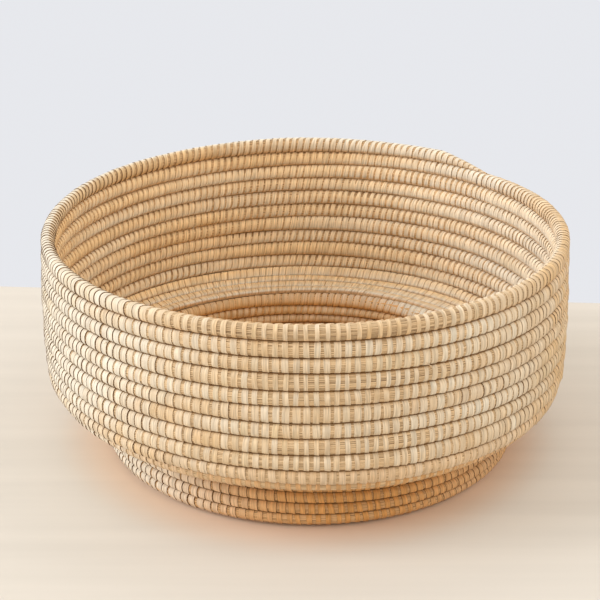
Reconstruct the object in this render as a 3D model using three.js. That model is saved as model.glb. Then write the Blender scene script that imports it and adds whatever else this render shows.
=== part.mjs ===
// A coiled palm-fibre basket: a round bowl with a straight wall on a narrower hollow foot.
// One bundle of stems winds from the middle of the base to the rim, and palm-leaf strips bind it.
// The bundle is a foundation coil for each stretch of the basket, and each turn has its own binder.
// Millimetres, +Z up. The origin is on the table, under the middle of the base.

import * as THREE from 'three';

// Overall sizes
const RIM_RADIUS = 190; // to the outside of the wall
const RIM_HEIGHT = 171.5; // to the top of the last course, where the coil ends
const SHOULDER_WIDTH = 38; // how far the wall stands out past the foot
const SHOULDER_HEIGHT = 40.5; // to the underside of the shoulder, where it leaves the foot
const SHOULDER_RISE = 1.5; // how far the shoulder climbs on its way out to the wall

// Bends of the profile, measured on their inner side
const FOOT_BEND = 1.5; // between the base and the foot
const SHOULDER_BEND = 2; // between the foot and the shoulder
const WALL_BEND = 14; // between the shoulder and the wall
const FOOT_START = THREE.MathUtils.degToRad(63); // the part of the first bend that counts as foot
const WALL_START = THREE.MathUtils.degToRad(35); // the part of the last bend that counts as wall

// The wrapped bundle
const BUNDLE_THICKNESS = 10; // across the wall
const BASE_TURNS = 13; // of the coil on each stretch, which share its length evenly
const FOOT_TURNS = 5;
const SHOULDER_TURNS = 4;
const WALL_TURNS = 10;
const COURSE_GAP = 0.5; // left between one turn and the next
const FLAT_SHARE = 0.6; // of a course, flat on its inner and outer side
const BINDER_THICKNESS = 1; // the strips, laid double where they pass through the turn below
const SEAT_GAP = 0.3; // between a binder and the foundation in it, and between pieces end to end

// The two ends of the coil
const START_RADIUS = 11; // to the middle of the bundle where the coil leaves the start knot
const COIL_END = THREE.MathUtils.degToRad(54); // round from +X, where the full bundle ends
const TAIL_LENGTH = 46; // the tapered end that lies down on the course below
const TAIL_TIP = 2.4; // height and thickness of the tip
const TAIL_STEPS = 5;

// Steps round the coil
const STEPS = 20; // in one turn
const SMALL_STEPS = 10; // in a turn near the middle of the base
const SMALL_TURNS = 3; // how many turns are that near
const BORE_SHARE = 0.5; // of a section's width, where only the order of its corners counts

const STRAW = 0xdcbf8c;
const SHADED_STRAW = 0xc79f63;
const STEM = 0xa9803f;

const HALF_BUNDLE = BUNDLE_THICKNESS / 2;
const WALL_RADIUS = RIM_RADIUS - HALF_BUNDLE;
const FOOT_RADIUS = WALL_RADIUS - SHOULDER_WIDTH;
const SHOULDER_MIDDLE = SHOULDER_HEIGHT + HALF_BUNDLE;

// The middle line of the bundle in a cut through the axis: base, foot, shoulder and wall up to the rim
const CORNERS = [
  { r: START_RADIUS, z: HALF_BUNDLE },
  { r: FOOT_RADIUS, z: HALF_BUNDLE, bend: FOOT_BEND + HALF_BUNDLE },
  { r: FOOT_RADIUS, z: SHOULDER_MIDDLE, bend: SHOULDER_BEND + HALF_BUNDLE },
  { r: WALL_RADIUS, z: SHOULDER_MIDDLE + SHOULDER_RISE, bend: WALL_BEND + HALF_BUNDLE },
  { r: WALL_RADIUS, z: RIM_HEIGHT },
];

// Straight and bent pieces of the profile, each with its start, heading, length and curvature
function profilePieces(corners) {
  const heading = (a, b) => Math.atan2(b.z - a.z, b.r - a.r);
  const span = (a, b) => Math.hypot(b.z - a.z, b.r - a.r);
  const pieces = [];
  let start = corners[0];
  for (let i = 1; i < corners.length; i += 1) {
    const corner = corners[i];
    const next = corners[i + 1];
    const ahead = heading(corners[i - 1], corner);
    const turn = next ? heading(corner, next) - ahead : 0;
    const cut = next ? corner.bend * Math.tan(Math.abs(turn) / 2) : 0;
    pieces.push({ start, ahead, curve: 0, length: span(start, corner) - cut });
    if (!next) break;
    const bendStart = along(pieces.at(-1), pieces.at(-1).length);
    const curve = Math.sign(turn) / corner.bend;
    pieces.push({ start: bendStart, ahead, curve, length: corner.bend * Math.abs(turn) });
    start = along(pieces.at(-1), pieces.at(-1).length);
  }
  return pieces;
}

// A point of one piece, at a distance from its start, with the heading there
function along(piece, distance) {
  const { start, ahead, curve } = piece;
  const now = ahead + curve * distance;
  if (curve === 0) {
    return { r: start.r + distance * Math.cos(now), z: start.z + distance * Math.sin(now), now };
  }
  const r = start.r + (Math.sin(now) - Math.sin(ahead)) / curve;
  const z = start.z - (Math.cos(now) - Math.cos(ahead)) / curve;
  return { r, z, now };
}

const PIECES = profilePieces(CORNERS);

// Where each piece of the profile starts, counted along it
const PIECE_STARTS = PIECES.map((piece, i) => PIECES.slice(0, i).reduce((sum, p) => sum + p.length, 0));

// A point beside the middle line: out is towards the table and the outside of the basket
function profilePoint(distance, out) {
  const past = PIECE_STARTS.findLastIndex((begin) => begin <= distance);
  const i = Math.max(past, 0);
  const { r, z, now } = along(PIECES[i], distance - PIECE_STARTS[i]);
  return { r: r + out * Math.sin(now), z: z - out * Math.cos(now) };
}

// The four stretches of the coil, each of whole turns. The last turn ends half a course below the rim
const [, FOOT_CORNER, , SHOULDER_CORNER, , WALL_CORNER] = PIECES;
const FOOT_FROM = PIECE_STARTS[2] - FOOT_START / Math.abs(FOOT_CORNER.curve);
const SHOULDER_FROM = PIECE_STARTS[3] + SHOULDER_CORNER.length / 2;
const WALL_FROM = PIECE_STARTS[6] - WALL_START / Math.abs(WALL_CORNER.curve);
const WALL_TO = PIECE_STARTS[6] + PIECES[6].length + COURSE_GAP / 2;

const STRETCHES = [
  { name: 'base', from: 0, to: FOOT_FROM, turns: BASE_TURNS, spare: 0, color: SHADED_STRAW },
  { name: 'foot', from: FOOT_FROM, to: SHOULDER_FROM, turns: FOOT_TURNS, spare: 0, color: SHADED_STRAW },
  { name: 'shoulder', from: SHOULDER_FROM, to: WALL_FROM, turns: SHOULDER_TURNS, spare: 0, color: STRAW },
  { name: 'wall', from: WALL_FROM, to: WALL_TO, turns: WALL_TURNS, spare: 0.5, color: STRAW },
];

let turnsSoFar = 0;
for (const stretch of STRETCHES) {
  stretch.pitch = (stretch.to - stretch.from) / (stretch.turns + stretch.spare);
  stretch.first = turnsSoFar;
  turnsSoFar += stretch.turns;
}
const ALL_TURNS = turnsSoFar;

// The coil after a number of turns: its place along the profile, its angle and its radius
function profileAt(turn) {
  const inside = STRETCHES.findLast((stretch) => stretch.first <= turn) ?? STRETCHES[0];
  return inside.from + (turn - inside.first) * inside.pitch;
}

function angleAt(turn) {
  return COIL_END - 2 * Math.PI * turn;
}

function radiusAt(turn) {
  return profilePoint(profileAt(turn), 0).r;
}

// Half of the room that a course has along the profile, between the turns on its two sides
function halfCourse(turn) {
  const here = profileAt(turn);
  const room = Math.min(profileAt(turn + 1) - here, here - profileAt(turn - 1));
  return (room - COURSE_GAP) / 2;
}

// Outlines of the section as points along the profile and out of it, counter-clockwise
function binderOutline(turn) {
  const tip = halfCourse(turn);
  const flat = tip * FLAT_SHARE;
  return [
    [tip, 0], [flat, HALF_BUNDLE], [-flat, HALF_BUNDLE],
    [-tip, 0], [-flat, -HALF_BUNDLE], [flat, -HALF_BUNDLE],
  ];
}

// The square hole that the binder leaves for the foundation, drawn in by a gap for the foundation
function foundationOutline(turn, gap) {
  const tip = halfCourse(turn);
  const slope = (tip - tip * FLAT_SHARE) / HALF_BUNDLE;
  const out = HALF_BUNDLE - BINDER_THICKNESS;
  const wide = tip - slope * out - BINDER_THICKNESS * Math.hypot(1, slope) - gap;
  const deep = out - gap;
  return [[wide, deep], [-wide, deep], [-wide, -deep], [wide, -deep]];
}

// A point of the coil, beside its middle line. Between two steps it lies on the edge that joins them
function coilPoint(turn, aside, out) {
  const before = Math.floor(turn * STEPS) / STEPS;
  const onStep = (step) => {
    const { r, z } = profilePoint(profileAt(step) + aside, out);
    return new THREE.Vector3(r * Math.cos(angleAt(step)), r * Math.sin(angleAt(step)), z);
  };
  return onStep(before).lerp(onStep(before + 1 / STEPS), (turn - before) * STEPS);
}

// The section's points in space: it bends with the profile, so that turns never meet in a corner
function ring(turn, outline) {
  return outline.map(([aside, out]) => coilPoint(turn, aside, out));
}

// Half the end gap between two pieces of the coil, as a share of a turn
function endGap(turn) {
  return SEAT_GAP / 2 / (2 * Math.PI * (radiusAt(turn) - HALF_BUNDLE));
}

// The turns at which a length of coil has a section
function stations(first, last) {
  const list = [first + endGap(first)];
  for (let turn = first; turn < last; turn += 1) {
    const steps = turn < SMALL_TURNS ? SMALL_STEPS : STEPS;
    for (let step = turn === first ? 1 : 0; step < steps; step += 1) list.push(turn + step / steps);
  }
  list.push(last - endGap(last));
  return list;
}

// A closed tube through rings of points, with an open bore where inner rings are given
function tube(outer, inner = []) {
  const sides = outer[0].length;
  const boreSides = inner.length ? inner[0].length : 0;
  const perRing = sides + boreSides;
  const points = outer.flatMap((points, i) => points.concat(inner[i] ?? []));
  const triangles = [];
  const side = (at, from, count, flip) => {
    for (let k = 0; k < count; k += 1) {
      const a = at + from + k;
      const b = at + from + ((k + 1) % count);
      const c = b + perRing;
      const d = a + perRing;
      triangles.push(...(flip ? [a, b, c, a, c, d] : [a, d, c, a, c, b]));
    }
  };
  for (let i = 0; i + 1 < outer.length; i += 1) {
    side(i * perRing, 0, sides, false);
    side(i * perRing, sides, boreSides, true);
  }
  const last = (outer.length - 1) * perRing;
  for (const [a, b, c] of capTriangles(sides, boreSides)) {
    triangles.push(a, b, c, last + c, last + b, last + a);
  }
  const geometry = new THREE.BufferGeometry().setFromPoints(points);
  geometry.setIndex(triangles);
  geometry.computeVertexNormals();
  return geometry;
}

// Triangles of a tube's end, as numbers of the points in its ring. Only the order of the points counts
function capTriangles(sides, boreSides) {
  const polygon = (count, radius, shift) => Array.from({ length: count }, (unused, k) => {
    const angle = (2 * Math.PI * (k + shift)) / count;
    return new THREE.Vector2(radius * Math.cos(angle), radius * Math.sin(angle));
  });
  const outside = polygon(sides, 1, 0);
  if (boreSides === 0) return THREE.ShapeUtils.triangulateShape(outside, []);
  const bore = polygon(boreSides, BORE_SHARE, 0.5).reverse();
  const faces = THREE.ShapeUtils.triangulateShape(outside, [bore]);
  const number = (i) => (i < sides ? i : 2 * sides + boreSides - 1 - i);
  return faces.map((face) => face.map(number));
}

// The least distance between sections that lie about one turn apart, on corners and side middles
function leastGap(turns, outlineAt) {
  const sections = turns.map((turn) => {
    const corners = ring(turn, outlineAt(turn));
    const middles = corners.map((p, k) => p.clone().lerp(corners[(k + 1) % corners.length], 0.5));
    return { turn, points: corners.concat(middles) };
  });
  let least = Infinity;
  for (const a of sections) {
    for (const b of sections) {
      if (b.turn - a.turn < 0.5 || b.turn - a.turn > 1.5) continue;
      for (const p of a.points) for (const q of b.points) least = Math.min(least, p.distanceTo(q));
    }
  }
  return least;
}

function named(name, geometry, color, roughness) {
  const material = new THREE.MeshStandardMaterial({ color, roughness, metalness: 0 });
  const mesh = new THREE.Mesh(geometry, material);
  mesh.name = name;
  return mesh;
}

// The foundation of one stretch: an unbroken coil of stems
function foundation(stretch) {
  const turns = stations(stretch.first, stretch.first + stretch.turns);
  const outlineAt = (turn) => foundationOutline(turn, SEAT_GAP);
  const name = `${stretch.name}_foundation`;
  console.log(`${name}: least gap to itself ${leastGap(turns, outlineAt).toFixed(2)} mm`);
  return named(name, tube(turns.map((turn) => ring(turn, outlineAt(turn)))), STEM, 0.85);
}

// The strips round one turn of the coil, as a sleeve with the foundation in it
function binder(stretch, index) {
  const turns = stations(stretch.first + index, stretch.first + index + 1);
  const outer = turns.map((turn) => ring(turn, binderOutline(turn)));
  const inner = turns.map((turn) => ring(turn, foundationOutline(turn, 0)));
  const name = `${stretch.name}_binder_${String(index + 1).padStart(2, '0')}`;
  return named(name, tube(outer, inner), stretch.color, 0.7);
}

function stretchGroup(stretch) {
  const group = new THREE.Group();
  group.name = stretch.name;
  group.add(foundation(stretch));
  for (let index = 0; index < stretch.turns; index += 1) group.add(binder(stretch, index));
  return group;
}

// The rolled-up beginning of the bundle, which fills the inside of the first turn
function startKnot() {
  const reach = (turn) => radiusAt(turn) - halfCourse(turn) - SEAT_GAP;
  const spot = (radius, turn) => {
    return new THREE.Vector2(radius * Math.cos(angleAt(turn)), radius * Math.sin(angleAt(turn)));
  };
  const end = 1 - 2 * endGap(0);
  const outline = [spot(reach(0), 0)];
  for (let step = 1; step < SMALL_STEPS; step += 1) {
    outline.push(spot(reach(step / SMALL_STEPS), step / SMALL_STEPS));
  }
  outline.push(spot(reach(end), end), spot(reach(0), end));
  const shape = new THREE.Shape(outline);
  const geometry = new THREE.ExtrudeGeometry(shape, { depth: BUNDLE_THICKNESS, bevelEnabled: false });
  return named('start_knot', geometry, SHADED_STRAW, 0.75);
}

// The tapered end of the coil, which lies down on the course below it
function rimTail() {
  const first = ALL_TURNS + endGap(ALL_TURNS);
  const length = TAIL_LENGTH / (2 * Math.PI * WALL_RADIUS);
  const full = halfCourse(ALL_TURNS);
  const rings = Array.from({ length: TAIL_STEPS + 1 }, (unused, step) => {
    const taper = step / TAIL_STEPS;
    const turn = first + taper * length;
    const tip = THREE.MathUtils.lerp(full, TAIL_TIP / 2, taper);
    const size = tip / full;
    const thin = THREE.MathUtils.lerp(1, TAIL_TIP / BUNDLE_THICKNESS, taper);
    const lowered = binderOutline(turn).map(([up, out]) => [up * size - (full - tip), out * thin]);
    return ring(turn, lowered);
  });
  return named('rim_tail', tube(rings), STRAW, 0.7);
}

const basket = new THREE.Group();
basket.name = 'palm_fibre_basket';
basket.add(startKnot());
for (const stretch of STRETCHES) basket.add(stretchGroup(stretch));
basket.add(rimTail());

const allTurns = stations(0, ALL_TURNS);
console.log(`binders: least gap from turn to turn ${leastGap(allTurns, binderOutline).toFixed(2)} mm`);

export default basket;
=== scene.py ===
"""A coiled palm-fibre basket: a stem bundle wound from the base to the rim, sewn with palm-leaf strips."""

import math
from collections import namedtuple

import bpy
import numpy as np
from bpy.props import FloatProperty, FloatVectorProperty, IntProperty, PointerProperty
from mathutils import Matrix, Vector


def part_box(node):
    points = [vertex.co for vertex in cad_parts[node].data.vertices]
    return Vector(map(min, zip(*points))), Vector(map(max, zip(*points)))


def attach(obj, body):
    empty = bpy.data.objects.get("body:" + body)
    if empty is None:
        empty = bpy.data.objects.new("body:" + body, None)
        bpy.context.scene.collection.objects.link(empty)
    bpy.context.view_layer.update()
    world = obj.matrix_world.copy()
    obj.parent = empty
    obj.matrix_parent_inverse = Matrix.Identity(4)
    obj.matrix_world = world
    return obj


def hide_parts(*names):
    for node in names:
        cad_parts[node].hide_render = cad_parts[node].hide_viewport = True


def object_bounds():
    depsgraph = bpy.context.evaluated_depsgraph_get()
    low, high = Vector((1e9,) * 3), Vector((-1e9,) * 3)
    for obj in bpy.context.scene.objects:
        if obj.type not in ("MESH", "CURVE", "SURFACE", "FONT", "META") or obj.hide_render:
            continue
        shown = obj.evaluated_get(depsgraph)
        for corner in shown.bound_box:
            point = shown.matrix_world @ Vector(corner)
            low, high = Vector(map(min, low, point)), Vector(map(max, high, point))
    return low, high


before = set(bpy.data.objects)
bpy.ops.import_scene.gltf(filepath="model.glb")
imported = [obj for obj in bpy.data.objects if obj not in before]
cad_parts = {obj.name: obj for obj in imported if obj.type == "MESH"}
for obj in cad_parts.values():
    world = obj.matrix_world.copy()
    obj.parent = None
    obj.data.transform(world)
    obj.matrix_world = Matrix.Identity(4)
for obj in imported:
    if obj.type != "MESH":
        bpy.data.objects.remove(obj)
CAD_BOX = [list(corner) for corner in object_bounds()]

bl_info = {
    "name": "Coiled Palm Basket",
    "version": (1, 0, 0),
    "blender": (4, 5, 0),
    "location": "View3D > Sidebar > Basket",
    "description": "Builds a coiled basket of stems sewn with palm-leaf strips on its solid model",
    "category": "Object",
}

MM = 0.001
BODY = "root"
STRETCH_NAMES = ("base", "foot", "shoulder", "wall")
RIM_RADIUS = CAD_BOX[1][0]
RIM_HEIGHT = CAD_BOX[1][2]
BUNDLE_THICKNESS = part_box("base_binder_05")[1][2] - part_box("base_binder_05")[0][2]
FOOT_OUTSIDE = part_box("foot_binder_03")[1][0]


def course_nodes(stretch):
    """The solids that bind the turns of one stretch, from its first turn to its last."""
    return sorted(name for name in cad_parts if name.startswith(f"{stretch}_binder_"))


# Settings


def length(name, description, default):
    """A size in metres."""
    return FloatProperty(name=name, description=description, default=default, unit="LENGTH", precision=5)


def angle(name, description, degrees):
    """An angle, given in degrees."""
    return FloatProperty(name=name, description=description, default=math.radians(degrees), subtype="ANGLE")


def share(name, description, default):
    """A part of a whole, from nothing to all."""
    return FloatProperty(name=name, description=description, default=default, min=0.0, max=1.0)


def strength(name, description, default):
    """A strength of light."""
    return FloatProperty(name=name, description=description, default=default, min=0.0)


def colour(name, description, default):
    """A linear colour."""
    return FloatVectorProperty(
        name=name, description=description, default=default, subtype="COLOR", size=3, min=0.0, max=1.0
    )


class BasketSizes(bpy.types.PropertyGroup):
    """Sizes of the basket's shape."""

    rim_radius: length("Rim radius", "To the outside of the wall", RIM_RADIUS)
    rim_height: length("Rim height", "To the top of the last course", RIM_HEIGHT)
    bundle: length("Bundle thickness", "Of the wrapped bundle, across the wall", BUNDLE_THICKNESS)
    foot_radius: length("Foot radius", "To the middle of the bundle", FOOT_OUTSIDE - BUNDLE_THICKNESS / 2)
    shoulder_height: length("Shoulder height", "To the underside of the shoulder", 40.5 * MM)
    shoulder_rise: length("Shoulder rise", "How far it climbs towards the wall", 1.5 * MM)
    foot_bend: length("Foot bend", "Inner radius between the base and the foot", 1.5 * MM)
    shoulder_bend: length("Shoulder bend", "Inner radius between the foot and the shoulder", 2 * MM)
    wall_bend: length("Wall bend", "Inner radius between the shoulder and the wall", 14 * MM)
    foot_start: angle("Foot start", "The part of the foot bend that counts as foot", 63)
    wall_start: angle("Wall start", "The part of the wall bend that counts as wall", 35)
    start_radius: length("Start radius", "Where the coil leaves the start knot", 11 * MM)
    coil_end: angle("Coil end", "Round from the X axis, where the full bundle ends", 54)
    tail_length: length("Tail length", "The tapered end on the course below", 46 * MM)
    lean_side: angle("Lean to the side", "How far the rim goes up to the right", 0.85)
    lean_back: angle("Lean to the front", "How far the bowl goes up to the front", 0.68)
    shoulder_tilt: angle("Shoulder tilt", "How far it goes down to the right", 1.05)
    shoulder_sag: length("Shoulder sag", "How far it has sunk", 1.2 * MM)
    foot_aside: length("Foot to the side", "From the bowl's axis to the right", 3.4 * MM)
    foot_ahead: length("Foot to the front", "From the bowl's axis to the front", 2.0 * MM)


class StripSizes(bpy.types.PropertyGroup):
    """Sizes of the palm-leaf strips and the stems under them."""

    spacing: length("Spacing", "From one wrap to the next", 6.5 * MM)
    narrow: share("Narrowest strip", "As a part of the spacing", 0.44)
    wide: share("Widest strip", "As a part of the spacing", 0.965)
    slant: share("Slant inside", "How much of the way to the next wrap is made on the inside", 0.45)
    proud: length("Strip height", "How far a strip stands out from the stems", 0.3 * MM)
    stems: IntProperty(name="Stems", description="Seen round the bundle", default=26, min=6)
    seed: IntProperty(name="Seed", description="Of everything that varies by hand", default=7)


class BasketColours(bpy.types.PropertyGroup):
    """Colours of the leaf strips and the stems, and of the painted light and shade on them."""

    cream: colour("Cream leaf", "The palest strips", (0.78, 0.72, 0.60))
    straw: colour("Straw leaf", "Most of the strips", (0.685, 0.485, 0.268))
    honey: colour("Honey leaf", "The darkest strips", (0.63, 0.425, 0.215))
    green: colour("Green leaf", "Strips cut from younger leaf", (0.65, 0.515, 0.29))
    rose: colour("Rose leaf", "Strips with a pink cast", (0.70, 0.465, 0.285))
    # Painted shade: the brown of strips in the shade under the shoulder, and low down inside the bowl.
    shade_amber: colour("Amber leaf", "Strips that have browned, on the foot and inside", (0.66, 0.35, 0.12))
    # Painted light: the lit upper part of each course inside, warm with the light that bounces round the
    # bowl.
    lit_gold: colour("Golden leaf", "Strips inside, less bleached by the light", (0.95, 0.69, 0.38))
    # Painted shade in the grooves between the courses.
    groove_shade: colour("Groove", "Strips where they go between the courses", (0.235, 0.125, 0.048))
    # Painted shadow along the edges where two strips meet.
    seam: colour("Seam", "Between two strips that meet", (0.13, 0.066, 0.025))
    stem: colour("Stem", "The bundle between the strips", (0.74, 0.555, 0.34))
    stem_dark: colour("Dark stem", "The lines between the stems", (0.155, 0.08, 0.031))


class StageSettings(bpy.types.PropertyGroup):
    """The floor, the backdrop and the lamps."""

    floor: colour("Floor", "The table top", (0.652, 0.62, 0.563))
    # Painted light on the table top: lighter near the basket, and warm next to the foot, standing in for the
    # light bounced from it.
    floor_lit: colour("Lit floor", "The table top near the basket, lit by it", (0.74, 0.70, 0.63))
    floor_painted_glow: colour("Warm floor", "The table top next to the foot, warmed by it", (0.83, 0.665, 0.53))
    backdrop: colour("Backdrop", "Behind the table", (0.80, 0.81, 0.845))
    edge: length("Back edge", "Of the table, behind the middle of the basket", 0.2511)
    edge_slope: FloatProperty(name="Edge slope", description="Of the back edge", default=-0.0713)
    key: strength("Key lamp", "Of the light from the left", 1.7)
    key_width: angle("Key width", "How wide the light from the left looks", 35)
    fill: FloatProperty(name="Fill lamp", description="Of the right lamp", default=8.0, unit="POWER")
    sky: strength("Sky", "Of the light from above", 1.3)
    horizon: strength("Horizon", "Of the light from the side", 1.0)
    horizon_tint: colour("Horizon tint", "Of the light from the side", (1.0, 0.80, 0.59))


# Shape of the coil

BASE, FOOT, SHOULDER, WALL = range(len(STRETCH_NAMES))
KNOT_TURNS = 1.05
KNOT_TIP = 0.45
KNOT_GROWTH = 1.5
TAIL_ROOT = 0.84
TAIL_TIP = 0.06
THINNING_TURNS = 0.12
RIM_SPARE_TURNS = 0.5
SOFT_TURNS = 0.4
LEAN_HEIGHT = 45 * MM
TABLE_GAP = 0.1 * MM
COURSE_STANDS = 1.0 * MM
COURSE_WAVES = 1.6 * MM
INNER_WAVES = 1.4 * MM
INNER_UNEVEN = 0.42
SHOULDER_EVEN = 0.7
LOOSE_TURNS = 4
DENTS = ((2, 0.5 * MM, 0.6), (3, 0.45 * MM, 2.1), (5, 0.3 * MM, 4.0), (8, 0.15 * MM, 1.3))
DENT_TWIST = 9.0

# Drifts along the coil: how many to a turn, and a seed
STANDS_DRIFT = (2.7, 11)
WAVES_DRIFT = (9.3, 12)
UNEVEN_DRIFT = (14.3, 13)
INNER_WAVES_DRIFT = (17.9, 14)


def smooth(x, begin=0.0, width=1.0):
    """A soft step from 0 to 1, over a width."""
    x = np.clip((x - begin) / width, 0.0, 1.0)
    return x * x * (3.0 - 2.0 * x)


WANDER_LENGTH = 4096


def wander(x, seed):
    """Smooth random values from 0 to 1 along x, the same on every run."""
    table = np.random.default_rng(seed).random(WANDER_LENGTH)
    step = np.floor(x).astype(int)
    blend = smooth(x - step)
    return table[step % WANDER_LENGTH] * (1.0 - blend) + table[(step + 1) % WANDER_LENGTH] * blend


# A straight or bent run of the profile: its start, heading, curvature, distance so far and length
Run = namedtuple("Run", "r z heading curve begin length")


class Coil:
    """The path of the bundle: a profile from the middle of the base to the rim, wound round the axis."""

    def __init__(self, sizes, seed):
        self.sizes = sizes
        self.seed = seed
        half = sizes.bundle / 2
        middle = sizes.shoulder_height + half
        wall_radius = sizes.rim_radius - half
        foot_bend = sizes.foot_bend + half
        wall_bend = sizes.wall_bend + half
        corners = [
            (sizes.start_radius, half, 0.0),
            (sizes.foot_radius, half, foot_bend),
            (sizes.foot_radius, middle, sizes.shoulder_bend + half),
            (wall_radius, middle + sizes.shoulder_rise, wall_bend),
            (wall_radius, sizes.rim_height, 0.0),
        ]
        self.runs = self.profile_runs(corners)
        _, _, foot, shoulder_bend, _, _, wall = self.runs
        ends = [
            0.0,
            foot.begin - sizes.foot_start * foot_bend,
            shoulder_bend.begin + shoulder_bend.length / 2,
            wall.begin - sizes.wall_start * wall_bend,
            wall.begin + wall.length,
        ]
        self.turns = [len(course_nodes(name)) for name in STRETCH_NAMES]
        self.first = [sum(self.turns[:i]) for i in range(len(self.turns))]
        self.last = sum(self.turns)
        counted = [*self.turns[:WALL], self.turns[WALL] + RIM_SPARE_TURNS]
        self.pitch = [(end - begin) / turns for begin, end, turns in zip(ends, ends[1:], counted)]
        self.begin = ends[:-1]
        self.tail_turns = sizes.tail_length / (2 * math.pi * wall_radius)

    @staticmethod
    def profile_runs(corners):
        """Straight runs from corner to corner, with a bend at each corner between."""
        runs = []
        r, z = corners[0][:2]
        begin = 0.0
        for i in range(1, len(corners)):
            corner_r, corner_z, bend = corners[i]
            heading = math.atan2(corner_z - corners[i - 1][1], corner_r - corners[i - 1][0])
            turn = 0.0
            if i + 1 < len(corners):
                turn = math.atan2(corners[i + 1][1] - corner_z, corners[i + 1][0] - corner_r) - heading
            straight = math.hypot(corner_r - r, corner_z - z) - bend * math.tan(abs(turn) / 2)
            runs.append(Run(r, z, heading, 0.0, begin, straight))
            begin += straight
            r += straight * math.cos(heading)
            z += straight * math.sin(heading)
            if turn == 0.0:
                continue
            curve = math.copysign(1.0 / bend, turn)
            runs.append(Run(r, z, heading, curve, begin, bend * abs(turn)))
            begin += bend * abs(turn)
            r += (math.sin(heading + turn) - math.sin(heading)) / curve
            z -= (math.cos(heading + turn) - math.cos(heading)) / curve
        return runs

    def profile_point(self, distance, out):
        """Radius and height of points beside the profile: out is towards the table and the outside."""
        begins = [run.begin for run in self.runs]
        index = np.maximum(np.searchsorted(begins, distance, side="right") - 1, 0)
        r, z, heading, curve, begin, _ = np.array(self.runs).T[:, index]
        along = distance - begin
        now = heading + curve * along
        bent = curve != 0.0
        curve = np.where(bent, curve, 1.0)
        r = r + np.where(bent, (np.sin(now) - np.sin(heading)) / curve, along * np.cos(now))
        z = z + np.where(bent, (np.cos(heading) - np.cos(now)) / curve, along * np.sin(now))
        return r + out * np.sin(now), z - out * np.cos(now)

    def distance(self, turn):
        """The place along the profile after a number of turns."""
        place = self.begin[0] + (turn - self.first[0]) * self.pitch[0]
        for i in range(1, len(self.turns)):
            inside = turn >= self.first[i]
            place = np.where(inside, self.begin[i] + (turn - self.first[i]) * self.pitch[i], place)
        return place

    def angle(self, turn):
        """The direction from the axis, round from the X axis."""
        return self.sizes.coil_end - 2 * math.pi * turn

    def near(self, turn, degrees, spread):
        """How near a place is to a direction from the axis: 1 there, and less beside it."""
        off = self.angle(turn) - math.radians(degrees)
        off = (off + math.pi) % (2 * math.pi) - math.pi
        return np.exp(-((off / math.radians(spread)) ** 2))

    def by_side(self, turn, sides):
        """The sum of amounts that are each strongest in one direction."""
        return sum(amount * self.near(turn, degrees, spread) for amount, degrees, spread in sides)

    def drift(self, turn, per_turn, seed):
        """Values from -0.5 to 0.5 that wander along the coil, so many to a turn."""
        return wander(turn * per_turn, self.seed + seed) - 0.5

    def on_stretch(self, turn, index):
        """How much a place belongs to one stretch of the coil, with soft ends."""
        begin = (turn - self.first[index]) / SOFT_TURNS
        end = (self.first[index] + self.turns[index] - turn) / SOFT_TURNS
        return smooth(begin + 0.5) * smooth(end + 0.5)

    def wave(self, turn, up):
        """The rise of a course's edges: what lies above and below an edge moves with it."""
        half = self.half_course(turn, up > 0)
        part = np.clip(0.5 + 0.5 * up / half, 0.0, 1.0)
        below, above = (self.drift(turn + side, *WAVES_DRIFT) for side in (-0.5, 0.5))
        return COURSE_WAVES * (below * (1 - part) + above * part)

    def free_edge(self, turn, above):
        """True on top of the rim, where no course lies above."""
        return above & (turn > self.last - 1)

    def half_thickness(self, turn, inner):
        """Half of the bundle's thickness, which varies more on the inside."""
        uneven = INNER_UNEVEN * (1 - SHOULDER_EVEN * self.on_stretch(turn, SHOULDER))
        uneven = 1 + uneven * self.drift(turn, *UNEVEN_DRIFT)
        return self.sizes.bundle / 2 * np.where(inner, uneven, 1.0)

    def half_course(self, turn, above):
        """Half of the way to the turn above, or to the one below."""
        step = np.where(above, 1.0, -1.0)
        return np.abs(self.distance(turn + step) - self.distance(turn)) / 2

    def radius(self, turn):
        """The distance from the axis after a number of turns."""
        return float(self.profile_point(self.distance(np.array([float(turn)])), np.zeros(1))[0][0])

    def fullness(self, turn):
        """Size of the bundle as a part of its full size: it starts thin, and thins out again at the rim."""
        start = np.clip(KNOT_GROWTH + turn, KNOT_TIP, 1.0)
        low = 1 - (1 - TAIL_ROOT) * smooth(turn, self.last - THINNING_TURNS, THINNING_TURNS)
        tail = TAIL_ROOT + (TAIL_TIP - TAIL_ROOT) * np.clip((turn - self.last) / self.tail_turns, 0.0, 1.0)
        return np.where(turn < 0, start, np.where(turn > self.last, tail, low))

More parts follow.
